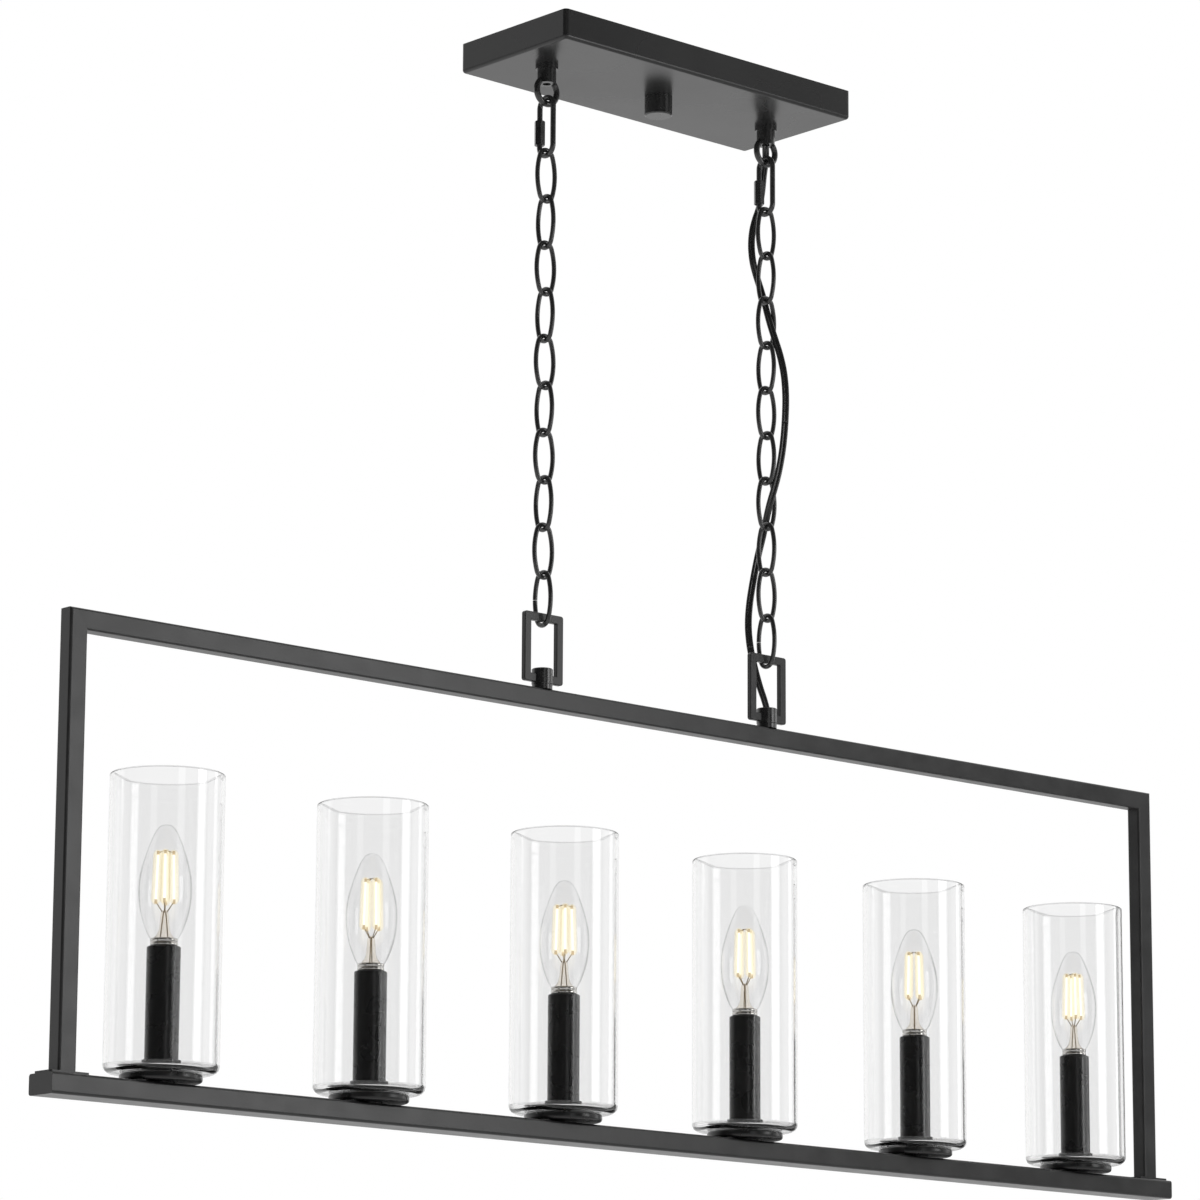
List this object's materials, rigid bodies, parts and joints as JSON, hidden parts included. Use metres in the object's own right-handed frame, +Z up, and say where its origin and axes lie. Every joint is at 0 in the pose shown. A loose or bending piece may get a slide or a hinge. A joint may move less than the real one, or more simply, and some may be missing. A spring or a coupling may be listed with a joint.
{
  "type": "linear island pendant",
  "caption": "Open black frame carrying candle lights in clear glass cylinders on its bottom bar, hung on two chains with quick links from a rectangular canopy.",
  "frame": {"origin": "centre of the canopy's rim where it meets the ceiling", "axes": "+X along the lamp, +Y across it, +Z up into the ceiling"},
  "size_m": [1.066, 0.1142, 0.8],
  "materials": {
    "black_powder_coat": "satin black powder coat on steel",
    "brass_thread": "threaded brass lamp pipe",
    "bulb_base_metal": "nickel-plated base",
    "bulb_glass": "thin clear bulb glass",
    "clear_glass": "clear blown glass",
    "connector_plastic": "moulded plastic",
    "cord_pvc": "soft black PVC",
    "galvanised_steel": "zinc-plated steel",
    "ground_green": "green-dyed steel screw",
    "sleeve_black": "matt black candle sleeve",
    "socket_phenolic": "moulded phenolic",
    "wire_insulation": "PVC insulation"
  },
  "bodies": {
    "ceiling": {"mounting_crossbar": "galvanised_steel", "canopy_nipple": "brass_thread", "nipple_lock_nut": "brass_thread", "ground_screw": "ground_green", "canopy_shell": "black_powder_coat", "canopy_loops": "black_powder_coat", "screw_collars": "black_powder_coat", "loop_washers": "galvanised_steel", "loop_lock_nuts": "brass_thread", "supply_leads": "wire_insulation", "wire_connectors": "connector_plastic"},
    "canopy_knob": {"canopy_knob": "black_powder_coat"},
    "left_link": {"quick_link_left": "black_powder_coat"},
    "left_link_nut": {"quick_link_nut_left": "black_powder_coat"},
    "left_chain": {"chain_left": "black_powder_coat"},
    "left_end_link": {"chain_end_link_left": "black_powder_coat"},
    "right_link": {"quick_link_right": "black_powder_coat"},
    "right_link_nut": {"quick_link_nut_right": "black_powder_coat"},
    "right_chain": {"chain_right": "black_powder_coat", "supply_cord": "cord_pvc"},
    "right_end_link": {"chain_end_link_right": "black_powder_coat"},
    "frame": {"hanger_loops": "black_powder_coat", "hanger_collars": "black_powder_coat", "collar_bases": "black_powder_coat", "hanger_nuts": "galvanised_steel", "top_rail": "black_powder_coat", "left_post": "black_powder_coat", "right_post": "black_powder_coat", "post_feet": "black_powder_coat", "foot_screws": "black_powder_coat", "bottom_bar": "black_powder_coat", "bar_end_caps": "black_powder_coat", "wiring_harness": "wire_insulation", "pan_necks": "black_powder_coat", "shade_pans": "black_powder_coat", "stem_nipples": "brass_thread", "stem_nuts": "galvanised_steel", "lamp_sockets": "socket_phenolic", "retaining_rings": "black_powder_coat", "candle_sleeves": "sleeve_black", "glass_shade_1": "clear_glass", "glass_shade_2": "clear_glass", "glass_shade_3": "clear_glass", "glass_shade_4": "clear_glass", "glass_shade_5": "clear_glass", "glass_shade_6": "clear_glass"},
    "bulb_1": {"bulb_1": "bulb_glass", "bulb_base_1": "bulb_base_metal"},
    "bulb_2": {"bulb_2": "bulb_glass", "bulb_base_2": "bulb_base_metal"},
    "bulb_3": {"bulb_3": "bulb_glass", "bulb_base_3": "bulb_base_metal"},
    "bulb_4": {"bulb_4": "bulb_glass", "bulb_base_4": "bulb_base_metal"},
    "bulb_5": {"bulb_5": "bulb_glass", "bulb_base_5": "bulb_base_metal"},
    "bulb_6": {"bulb_6": "bulb_glass", "bulb_base_6": "bulb_base_metal"}
  },
  "joints": [
    {"name": "left_link_swing", "type": "hinge", "parent": "ceiling", "child": "left_link", "pos_m": [-0.11, 0, -0.0512], "axis": [1, 0, 0], "range_deg": [-15, 15]},
    {"name": "left_chain_sway", "type": "hinge", "parent": "left_link", "child": "left_chain", "pos_m": [-0.11, 0, -0.09], "axis": [0, 1, 0], "range_deg": [-12, 12]},
    {"name": "left_end_link_level", "type": "hinge", "parent": "left_chain", "child": "left_end_link", "pos_m": [-0.11, 0, -0.3974], "axis": [0, 1, 0], "range_deg": [-12, 12]},
    {"name": "left_link_nut_travel", "type": "slide", "parent": "left_link", "child": "left_link_nut", "axis": [0, 0, 1], "range_m": [0, 0.0084]},
    {"name": "right_link_swing", "type": "hinge", "parent": "ceiling", "child": "right_link", "pos_m": [0.11, 0, -0.0512], "axis": [1, 0, 0], "range_deg": [-15, 15], "deforming": ["supply_cord"]},
    {"name": "right_chain_sway", "type": "hinge", "parent": "right_link", "child": "right_chain", "pos_m": [0.11, 0, -0.09], "axis": [0, 1, 0], "range_deg": [-12, 12]},
    {"name": "right_end_link_level", "type": "hinge", "parent": "right_chain", "child": "right_end_link", "pos_m": [0.11, 0, -0.3974], "axis": [0, 1, 0], "range_deg": [-12, 12]},
    {"name": "right_link_nut_travel", "type": "slide", "parent": "right_link", "child": "right_link_nut", "axis": [0, 0, 1], "range_m": [0, 0.0084]},
    {"name": "frame_pitch", "type": "hinge", "parent": "right_end_link", "child": "frame", "pos_m": [0.11, 0, -0.4295], "axis": [1, 0, 0], "range_deg": [-15, 15]},
    {"name": "canopy_knob_turn", "type": "hinge", "parent": "ceiling", "child": "canopy_knob", "pos_m": [0, 0, -0.022], "axis": [0, 0, 1], "continuous": true},
    {"name": "bulb_1_turn", "type": "hinge", "parent": "frame", "child": "bulb_1", "pos_m": [-0.4375, 0, -0.693], "axis": [0, 0, 1], "continuous": true},
    {"name": "bulb_2_turn", "type": "hinge", "parent": "frame", "child": "bulb_2", "pos_m": [-0.2625, 0, -0.693], "axis": [0, 0, 1], "continuous": true},
    {"name": "bulb_3_turn", "type": "hinge", "parent": "frame", "child": "bulb_3", "pos_m": [-0.0875, 0, -0.693], "axis": [0, 0, 1], "continuous": true},
    {"name": "bulb_4_turn", "type": "hinge", "parent": "frame", "child": "bulb_4", "pos_m": [0.0875, 0, -0.693], "axis": [0, 0, 1], "continuous": true},
    {"name": "bulb_5_turn", "type": "hinge", "parent": "frame", "child": "bulb_5", "pos_m": [0.2625, 0, -0.693], "axis": [0, 0, 1], "continuous": true},
    {"name": "bulb_6_turn", "type": "hinge", "parent": "frame", "child": "bulb_6", "pos_m": [0.4375, 0, -0.693], "axis": [0, 0, 1], "continuous": true}
  ],
  "couplings": [
    {"joint": "left_link_swing", "follows": "right_link_swing", "ratio": 1},
    {"joint": "right_end_link_level", "follows": "right_chain_sway", "ratio": -1},
    {"joint": "left_chain_sway", "follows": "right_chain_sway", "ratio": 1},
    {"joint": "left_end_link_level", "follows": "right_chain_sway", "ratio": -1}
  ]
}
